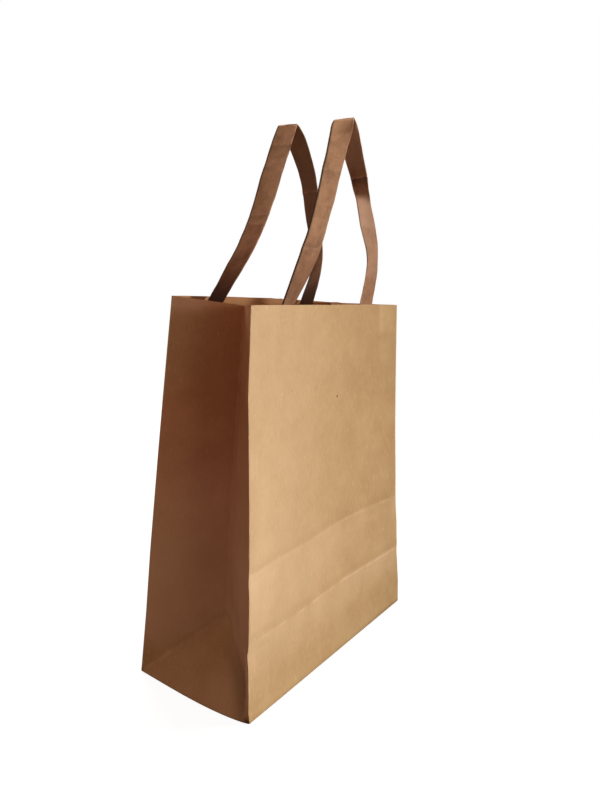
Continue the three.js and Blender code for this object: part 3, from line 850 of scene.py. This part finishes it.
def make_strap(name, handle, material):
    seed = SEEDS[name]
    left = leg_sections(handle, -1)
    right = leg_sections(handle, 1)
    sections = np.concatenate([left, fold_sections(handle, left, right), right[::-1]])
    middle, turn, width = sections[:, :3], sections[:, 3], sections[:, 4]
    step = np.linalg.norm(np.diff(middle, axis=0), axis=1)
    along = np.concatenate([[0], np.cumsum(step)])
    tangent = np.gradient(middle, axis=0)
    tangent /= np.linalg.norm(tangent, axis=1, keepdims=True)
    top = along[len(left)] + math.pi * FOLD_RADIUS / 2
    from_top = along - top
    drawn = bell(from_top, FOLD_REACH_ALONG)
    tilt = math.radians(handle["fold_tilt"]) * drawn
    ruling = np.column_stack([np.cos(turn) * np.cos(tilt), np.sin(turn) * np.cos(tilt), np.sin(tilt)])
    normal = np.cross(tangent, ruling)
    normal /= np.linalg.norm(normal, axis=1, keepdims=True)
    half = STRAP_WIDTH / 2 * width / np.sqrt(1 - np.sum(tangent * ruling, axis=1) ** 2)
    half *= 1 - handle["fold_draw"] * drawn

    bend = np.linspace(-1, 1, STRAP_COLUMNS)
    place = np.sign(bend) * (1 - (1 - np.abs(bend)) ** EDGE_CROWDING)
    rounded = np.clip((np.abs(place) - ROUND_FROM) / (1 - ROUND_FROM), 0, 1)
    thick = STRAP_THICKNESS / 2 * lerp(EDGE_THICKNESS, 1, np.sqrt(np.clip(1 - rounded**2, 0, 1)))
    across, lengthwise = np.meshgrid(place, along, indexing="ij")
    reach = half[None, :] + EDGE_WOBBLE * waves(seed, WOBBLE_LUMPS, lengthwise, WOBBLE_ACROSS * across)
    for hand, amount, down_left, down_right in handle["blunt"]:
        nearby = bell(from_top, np.where(from_top < 0, down_left, down_right))
        reach = reach - amount * nearby[None, :] * rise(hand * across, BLUNT_FROM, 1 - BLUNT_FROM)
    pale_line, shade_band = strap_creases(handle, seed + 3, along, across, lengthwise)
    cup = CUP * waves(seed + 1, CUP_LUMPS, lengthwise, CUP_ACROSS * across)
    cup = cup * rise(lengthwise, STRAP_TUCK, LOOSE_LENGTH)
    cup = cup * fall(lengthwise, along[-1] - STRAP_TUCK, LOOSE_LENGTH)
    cup = cup + STRAP_KINK * pale_line
    centre = middle[None] + ruling[None] * (across * reach)[:, :, None] + normal[None] * cup[:, :, None]
    outside = centre + normal[None] * thick[:, None, None]
    inside = centre - normal[None] * thick[:, None, None]

    # Painted shade along the left edge of the left leg, and on both feet towards the rim
    edge = fall((1 + across) * STRAP_WIDTH / 2, STRAP_EDGE_REACH * STRAP_EDGE, STRAP_EDGE)
    edge = edge * fall(lengthwise, top + STRAP_EDGE_END, 2 * STRAP_EDGE_END)
    shade_end = STRAP_TUCK + RIM_SHADE_REACH * RIM_SHADE
    foot = most(
        handle["foot_shade"][-1] * fall(lengthwise, shade_end, RIM_SHADE),
        handle["foot_shade"][1] * fall(along[-1] - lengthwise, shade_end, RIM_SHADE),
    )
    shade_mark = most(edge, foot, BAND_SHADE * shade_band)
    # Pale long edges, fold top and crease lines are wear and painted highlight
    edge_broken = np.clip(lerp(waves(seed + 2, EDGE_PALE_LUMPS, lengthwise), 1, EDGE_PALE_EVEN), 0, 1)
    wear_and_light = most(
        edge_broken * bell((1 - np.abs(across)) * STRAP_WIDTH / 2, EDGE_PALE_WIDTH),
        line(lengthwise - top, *TOP_LINE),
    )
    wear_and_light = most(wear_and_light * (1 - edge), LINE_PALE * pale_line)

    # Stretches of the right leg get painted light or painted shade
    right_foot = len(along) - 1 - GLUED_STEPS - RISING_STEPS
    for low, high, pale, deep in handle["painted_light_and_shade"]:
        start, end = (along[right_foot - round(share * LEG_STEPS)] for share in (high, low))
        painted_light_and_shade = rise(lengthwise, start, STRETCH_SOFT) * fall(lengthwise, end, STRETCH_SOFT)
        wear_and_light = most(wear_and_light, pale * painted_light_and_shade)
        shade_mark = most(shade_mark, deep * painted_light_and_shade * (1 - pale_line))

    # The pale mark is wear and painted light, and the dark and warm marks are painted shade
    marks = {"wear_and_painted_light": wear_and_light, "painted_shade": shade_mark, "painted_warm_shade": foot, "along": lengthwise}
    marks["across"] = across * STRAP_WIDTH / 2
    marks = {mark: skins(values, values) for mark, values in marks.items()}
    faces = sheet_faces(*across.shape, False)[:, ::-1]
    return make_object(name, sheet_points(outside, inside), faces, marks, material)


# Patches: steps of the mesh, and how they buckle
PATCH_STEPS_ACROSS = (0.5 * MM, 1.2 * MM)
PATCH_STEPS_UP = (0.4 * MM, 2 * MM)
PATCH_BUCKLE = 0.08 * MM
PATCH_LUMPS = 18 * MM
PATCH_HELD = 4 * MM


def make_patch(name, handle, material):
    side = handle["side"]
    top = BAG_HEIGHT - PATCH_DROP
    climb = STRAP_THICKNESS + GLUE_LINE
    legs = handle["legs"]

    def strap_place(hand, z):
        return hand * (BAG_WIDTH / 2 - legs[hand]["inset"] + legs[hand]["splay"] * (BAG_HEIGHT - z))

    def crest(hand):
        return STRAP_WIDTH / 2 * math.hypot(1, legs[hand]["splay"]) + GLUE_LINE

    def end(hand):
        return strap_place(hand, PATCH_LEVEL) + hand * (crest(hand) + PATCH_STEP + PATCH_MARGIN)

    columns = lerp(end(-1), end(1), graded(end(1) - end(-1), *PATCH_STEPS_ACROSS))
    rows = lerp(PATCH_LEVEL, top, graded(top - PATCH_LEVEL, *PATCH_STEPS_UP))
    x, z = np.meshgrid(columns, rows, indexing="ij")
    up = 0
    for hand in (-1, 1):
        gap = np.abs(x - strap_place(hand, z)) - crest(hand)
        up = np.maximum(up, climb * fall(gap, PATCH_STEP, PATCH_STEP))
    buckle = PATCH_BUCKLE * (1 + waves(SEEDS[name], PATCH_LUMPS, x, z))
    up = up + buckle * rise(x, end(-1), PATCH_HELD)
    wall_side = np.stack([x, seat_on(side, z, up), z], axis=2)
    open_side = np.stack([x, seat_on(side, z, up + PAPER), z], axis=2)
    outside, inside = (wall_side, open_side) if side < 0 else (open_side, wall_side)
    points = sheet_points(outside, inside)
    marks = {"wear_and_painted_light": np.zeros(len(points)), "painted_shade": np.zeros(len(points))}
    return make_object(name, points, sheet_faces(*x.shape, False), marks, material)


def shade(colour, factor):
    return tuple(factor * c for c in colour)


# Colours of the papers: usual, pale and deep, with the size of the fibres and how dark the painted shade is
SHEET, STRAP, PATCH = (0.568, 0.38, 0.178), (0.475, 0.267, 0.143), (0.54, 0.34, 0.16)
SHEET_COLOURS = (SHEET, (0.685, 0.468, 0.257), (0.5, 0.315, 0.139))
STRAP_COLOURS = (STRAP, (0.57, 0.34, 0.195), shade(STRAP, 0.78))
PATCH_COLOURS = (PATCH, (0.6, 0.4, 0.2), shade(PATCH, 0.9))
SHEET_FIBRES, STRAP_FIBRES = 1.1 * MM, 0.9 * MM
SHEET_SHADE_SHARE, STRAP_SHADE_SHARE, PATCH_SHADE_SHARE = 0.95, 0.97, 0.65
# Tint of the painted warm shade
WARM_SHADE_TINT = (1.0, 0.77, 0.73)

# Layers of the paper: noises by size, detail, stretch and roughness, shares by a range and its end values
EVEN = (1, 1, 1)
SHEET_CLOUD, STRAP_CLOUD = (24 * MM, 5, EVEN, 0.6), (9 * MM, 5, EVEN, 0.6)
CLOUD_SHARE, CLOUD_ROUGHNESS = (0.3, 0.7), (0.3, 0.7, 0.72, 0.6)
FIBRE_NOISE, FIBRE_SHARE = (5, (1, 1, 0.16), 0.62), (0.42, 0.75, 0, 0.32)
PULP, PULP_SHARE = (1.6 * MM, 3), (0.58, 0.9, 0, 0.4)
FLECKS, FLECK_SHARE = (1.7 * MM, 2, (1, 1, 0.36)), (0.62, 0.74, 0, 0.55)
SPECKS, SPECK_SHARE, SPECK_SHADE = (1.1 * MM, 1, (1, 1, 0.55)), (0.735, 0.78), 0.28
SCARCE, SCARCE_SHARE = (14 * MM, 1), (0.5, 0.62, 0, 0.75)
STAIN, STAIN_SHARE, STAIN_SHADE = (13 * MM, 4, EVEN, 0.65), (0.47, 0.66, 0, 0.55), 0.6
WORN, WORN_SHARE = (7 * MM, 5, (1, 1, 0.6), 0.7), (0.53, 0.68, 0, 0.6)
# How the pale marks mix in: wear with painted highlight, sheen and light
PALE_SHARE, PALE_GAIN, PALE_LIFT = 0.6, 1.15, 0.12
SHEET_DARK_SHADE, STRAP_DARK_SHADE = 0.22, 0.1
SPOT_PLACE, SPOT_FLATTEN = (5.6 * MM, -58.5 * MM, 228.1 * MM), 0.2
SPOT_SHARE, SPOT_SHADE = (0.8 * MM, 1.4 * MM, 0.95, 0), 0.3
PAPER_IOR, PAPER_SPECULAR = 1.45, 0.01
LUMPS, LUMP_HEIGHT = (4.5 * MM, 3), 2.0
BUMP_STRENGTH, BUMP_DISTANCE = 0.35, 0.14 * MM


def paper(name, colours, fibre_size, shade_share, strap=False, spot=None):
    colour, pale, deep = colours
    material = bpy.data.materials.new(name)
    material.use_nodes = True
    nodes = material.node_tree.nodes
    links = material.node_tree.links
    shader = nodes["Principled BSDF"]

    def node(kind, **settings):
        made = nodes.new(kind)
        for key, value in settings.items():
            setattr(made, key, value)
        return made

    def mark(mark_name):
        return node("ShaderNodeAttribute", attribute_name=mark_name).outputs["Fac"]

    # A strap's paper follows the strap, by its length and width
    if strap:
        place = node("ShaderNodeCombineXYZ")
        links.new(mark("across"), place.inputs["X"])
        links.new(mark("along"), place.inputs["Z"])
        place_out = place.outputs["Vector"]
    else:
        place_out = node("ShaderNodeTexCoord").outputs["Object"]

    def scaled(scale):
        made = node("ShaderNodeMapping")
        made.inputs["Scale"].default_value = scale
        links.new(place_out, made.inputs["Vector"])
        return made.outputs["Vector"]

    def noise(size, detail, stretch=EVEN, rough=0.5):
        made = node("ShaderNodeTexNoise")
        made.inputs["Scale"].default_value = 1
        made.inputs["Detail"].default_value = detail
        made.inputs["Roughness"].default_value = rough
        links.new(scaled([s / size for s in stretch]), made.inputs["Vector"])
        return made.outputs["Fac"]

    def ramp(value, low, high, start=0.0, end=1.0):
        made = node("ShaderNodeMapRange")
        made.inputs["From Min"].default_value = low
        made.inputs["From Max"].default_value = high
        made.inputs["To Min"].default_value = start
        made.inputs["To Max"].default_value = end
        links.new(value, made.inputs["Value"])
        return made.outputs["Result"]

    def math_of(operation, a, b):
        made = node("ShaderNodeMath", operation=operation)
        links.new(a, made.inputs[0])
        links.new(b, made.inputs[1])
        return made.outputs["Value"]

    def mix(share, base, other, blend="MIX"):
        made = node("ShaderNodeMix", data_type="RGBA", blend_type=blend)
        links.new(share, made.inputs["Factor"])
        for socket, value in (("A", base), ("B", other)):
            target = [s for s in made.inputs if s.name == socket and s.type == "RGBA"][0]
            if isinstance(value, tuple):
                target.default_value = (*value, 1)
            else:
                links.new(value, target)
        return [s for s in made.outputs if s.type == "RGBA"][0]

    cloud = noise(*(STRAP_CLOUD if strap else SHEET_CLOUD))
    fibres = noise(fibre_size, *FIBRE_NOISE)
    tone = mix(ramp(cloud, *CLOUD_SHARE), deep, colour)
    tone = mix(ramp(fibres, *FIBRE_SHARE), tone, pale)
    tone = mix(ramp(noise(*PULP), *PULP_SHARE), tone, deep)
    tone = mix(ramp(noise(*FLECKS), *FLECK_SHARE), tone, pale)
    scarce = ramp(noise(*SCARCE), *SCARCE_SHARE)
    specks = math_of("MULTIPLY", ramp(noise(*SPECKS), *SPECK_SHARE), scarce)
    tone = mix(specks, tone, shade(deep, SPECK_SHADE))
    if strap:
        tone = mix(ramp(noise(*STAIN), *STAIN_SHARE), tone, shade(deep, STAIN_SHADE))
        tone = mix(ramp(noise(*WORN), *WORN_SHARE), tone, pale)
    # Pale marks are wear with painted highlight, sheen and light; dark and warm marks are painted shade
    wear_and_painted_light = tuple(min(1, PALE_GAIN * c + PALE_LIFT) for c in pale)
    tone = mix(ramp(mark("wear_and_painted_light"), 0, 1, 0, PALE_SHARE), tone, wear_and_painted_light)
    painted_shade = shade(deep, STRAP_DARK_SHADE if strap else SHEET_DARK_SHADE)
    tone = mix(ramp(mark("painted_shade"), 0, 1, 0, shade_share), tone, painted_shade)
    tone = mix(mark("painted_warm_shade"), tone, WARM_SHADE_TINT, "MULTIPLY")
    if spot:
        away = node("ShaderNodeVectorMath", operation="DISTANCE")
        away.inputs[1].default_value = (spot[0], SPOT_FLATTEN * spot[1], spot[2])
        links.new(scaled((1, SPOT_FLATTEN, 1)), away.inputs[0])
        tone = mix(ramp(away.outputs["Value"], *SPOT_SHARE), tone, shade(deep, SPOT_SHADE))
    links.new(tone, shader.inputs["Base Color"])
    links.new(ramp(cloud, *CLOUD_ROUGHNESS), shader.inputs["Roughness"])
    shader.inputs["IOR"].default_value = PAPER_IOR
    shader.inputs["Specular IOR Level"].default_value = PAPER_SPECULAR

    bump = node("ShaderNodeBump")
    bump.inputs["Strength"].default_value = BUMP_STRENGTH
    bump.inputs["Distance"].default_value = BUMP_DISTANCE
    lumps = ramp(noise(*LUMPS), 0, 1, 0, LUMP_HEIGHT)
    links.new(math_of("ADD", fibres, lumps), bump.inputs["Height"])
    links.new(bump.outputs["Normal"], shader.inputs["Normal"])
    return material


sheet_paper = paper("kraft_sheet_paper", SHEET_COLOURS, SHEET_FIBRES, SHEET_SHADE_SHARE, spot=SPOT_PLACE)
strap_paper = paper("kraft_strap_paper", STRAP_COLOURS, STRAP_FIBRES, STRAP_SHADE_SHARE, strap=True)
patch_paper = paper("kraft_patch_paper", PATCH_COLOURS, SHEET_FIBRES, PATCH_SHADE_SHARE)

# Pieces, with the nodes that they replace and the slots of their materials
pieces = [
    (make_bag(sheet_paper), "bag_body", "kraft_sheet"),
    (make_strap("front_strap", HANDLES["front"], strap_paper), "front_handle", "kraft_strap"),
    (make_strap("back_strap", HANDLES["back"], strap_paper), "back_handle", "kraft_strap"),
    (make_patch("front_patch", HANDLES["front"], patch_paper), "front_handle_patch", "kraft_patch"),
    (make_patch("back_patch", HANDLES["back"], patch_paper), "back_handle_patch", "kraft_patch"),
]
for piece, cad_node, slot in pieces:
    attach(piece, "root")
    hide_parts(cad_node)

# Stage: a white floor and background that keep the bag's shadow, and a warm fill from all round
FLOOR_SIZE = 2.2
FLOOR_DROP = 0.1 * MM
FLOOR_GLOW = 0.93
FLOOR_TONE = (0.2, 0.21, 0.21, 1)
FLOOR_BOUNCE = (0.16, 0.14, 0.12, 1)
FILL_COLOUR = (1.0, 0.58, 0.52, 1)
FILL_STRENGTH = 0.28
WHITE = (1, 1, 1, 1)


def add(tree, kind, **inputs):
    made = tree.nodes.new(kind)
    for socket, value in inputs.items():
        made.inputs[socket].default_value = value
    return made


def show_or_light(tree, output_kind, lighting, shown):
    """Shows one shader to the camera, and through gloss or glass, and lights the object with the other."""
    nodes, links = tree.nodes, tree.links
    path = nodes.new("ShaderNodeLightPath")
    seen = path.outputs["Is Camera Ray"]
    for other in ("Is Glossy Ray", "Is Transmission Ray"):
        either = nodes.new("ShaderNodeMath")
        either.operation = "MAXIMUM"
        links.new(seen, either.inputs[0])
        links.new(path.outputs[other], either.inputs[1])
        seen = either.outputs["Value"]
    chosen = nodes.new("ShaderNodeMixShader")
    links.new(seen, chosen.inputs[0])
    links.new(lighting.outputs[0], chosen.inputs[1])
    links.new(shown.outputs[0], chosen.inputs[2])
    output = nodes.new(output_kind)
    links.new(chosen.outputs[0], output.inputs["Surface"])


floor_mesh = bpy.data.meshes.new("floor")
corners = [(-1, -1), (1, -1), (1, 1), (-1, 1)]
floor_points = [(FLOOR_SIZE / 2 * x, FLOOR_SIZE / 2 * y, -FLOOR_DROP) for x, y in corners]
floor_mesh.from_pydata(floor_points, [], [(0, 1, 2, 3)])
floor = bpy.data.objects.new("floor", floor_mesh)
bpy.context.scene.collection.objects.link(floor)
floor_material = bpy.data.materials.new("studio_floor")
floor_material.use_nodes = True
floor_tree = floor_material.node_tree
floor_tree.nodes.clear()
shown = add(floor_tree, "ShaderNodeBsdfDiffuse", Color=FLOOR_TONE)
glow = add(floor_tree, "ShaderNodeEmission", Strength=FLOOR_GLOW)
lit = add(floor_tree, "ShaderNodeAddShader")
floor_tree.links.new(shown.outputs[0], lit.inputs[0])
floor_tree.links.new(glow.outputs[0], lit.inputs[1])
bounce = add(floor_tree, "ShaderNodeBsdfDiffuse", Color=FLOOR_BOUNCE)
show_or_light(floor_tree, "ShaderNodeOutputMaterial", bounce, lit)
floor_mesh.materials.append(floor_material)

world = bpy.data.worlds.new("studio")
bpy.context.scene.world = world
world.use_nodes = True
world_tree = world.node_tree
world_tree.nodes.clear()
fill = add(world_tree, "ShaderNodeBackground", Color=FILL_COLOUR, Strength=FILL_STRENGTH)
white = add(world_tree, "ShaderNodeBackground", Color=WHITE, Strength=1)
show_or_light(world_tree, "ShaderNodeOutputWorld", fill, white)

# Lamps: each stands off a point, by an azimuth from the front, a rise and a distance, and aims there or aside
LAMPS = {
    "key": {"stand": (0, -0.06, 0.27), "aim": (-0.68, -0.06, 0.09), "azimuth": 40, "rise": 2, "distance": 2.4,
            "size": 0.42, "spread": 38, "power": 4.45, "colour": (0.95, 1.0, 1.05)},
    "front": {"stand": (0, -0.06, 0.2), "azimuth": -10, "rise": 4, "distance": 1.6,
              "size": 0.8, "spread": 180, "power": 3.1, "colour": (1.0, 0.86, 0.75)},
    "overhead": {"stand": (0, 0, 0.3), "azimuth": 0, "rise": 88, "distance": 1.1,
                 "size": 0.7, "spread": 180, "power": 2.1, "colour": (1.0, 0.97, 0.93)},
    "hair": {"stand": (0, -0.055, 0.44), "azimuth": -70, "rise": 62, "distance": 1.2,
             "size": 0.06, "spread": 8, "power": 0.024, "colour": (0.95, 1.0, 1.0)},
    "rear": {"stand": (0, 0, 0.2), "azimuth": 150, "rise": 30, "distance": 1.6,
             "size": 0.7, "spread": 180, "power": 14.0, "colour": (1.0, 0.97, 0.93)},
}
for name, lamp in LAMPS.items():
    data = bpy.data.lights.new(name, "AREA")
    data.shape = "DISK"
    data.size = lamp["size"]
    data.spread = math.radians(lamp["spread"])
    data.energy = lamp["power"]
    data.color = lamp["colour"]
    light = bpy.data.objects.new(name, data)
    bpy.context.scene.collection.objects.link(light)
    azimuth, tilt = math.radians(lamp["azimuth"]), math.radians(lamp["rise"])
    way = Vector((math.sin(azimuth) * math.cos(tilt), -math.cos(azimuth) * math.cos(tilt), math.sin(tilt)))
    light.location = Vector(lamp["stand"]) + lamp["distance"] * way
    aim = Vector(lamp.get("aim", lamp["stand"]))
    light.rotation_euler = (aim - light.location).to_track_quat("-Z", "Y").to_euler()

# Camera, level with the rim and turned to the front left edge
CAMERA_PLACE = (-485.6 * MM, -364.5 * MM, 312.6 * MM)
CAMERA_LOOK = (0.816, 0.578, 0)
CAMERA_SENSOR = 36
CAMERA_LENS = 28.852
CAMERA_SHIFT = -0.12188
camera_data = bpy.data.cameras.new("camera")
camera_data.sensor_width = CAMERA_SENSOR
camera_data.lens = CAMERA_LENS
camera_data.shift_y = CAMERA_SHIFT
camera = bpy.data.objects.new("camera", camera_data)
bpy.context.scene.collection.objects.link(camera)
camera.location = CAMERA_PLACE
camera.rotation_euler = Vector(CAMERA_LOOK).to_track_quat("-Z", "Y").to_euler()
bpy.context.scene.camera = camera

bpy.context.scene.view_settings.view_transform = "Standard"
